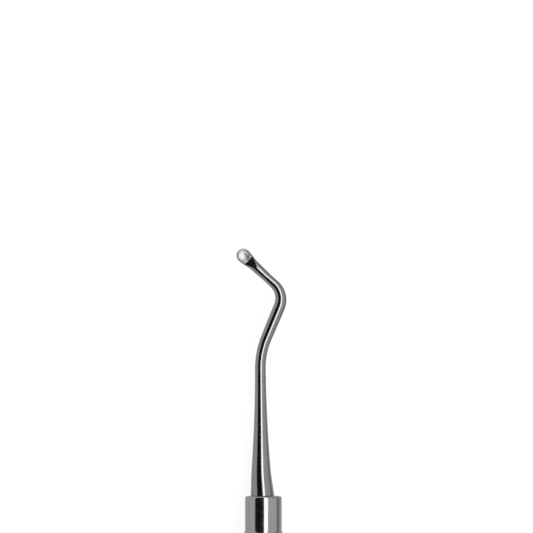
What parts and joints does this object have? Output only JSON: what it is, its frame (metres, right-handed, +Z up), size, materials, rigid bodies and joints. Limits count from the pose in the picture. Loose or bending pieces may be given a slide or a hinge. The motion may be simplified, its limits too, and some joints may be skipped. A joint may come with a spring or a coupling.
{
  "type": "dental spoon excavator",
  "caption": "Double-ended dental spoon excavator: a hollow knurled steel handle with a curved shank and a small round cupped spoon at each end.",
  "frame": {"origin": "on the surface that the tool lies on, below the middle of the grip", "axes": "+Y along the handle towards the front tip, +Z up, out of both spoons' hollows, and both spoons hook towards -X"},
  "size_m": [0.0094, 0.1746, 0.0095],
  "materials": {
    "grip_steel": "polished with knurled bands",
    "polished_steel": "polished",
    "tip_steel": "polished"
  },
  "bodies": {
    "root": {"grip_tube": "grip_steel", "front_ferrule": "polished_steel", "rear_ferrule": "polished_steel", "front_spoon_tip": "tip_steel", "rear_spoon_tip": "tip_steel"}
  },
  "joints": []
}
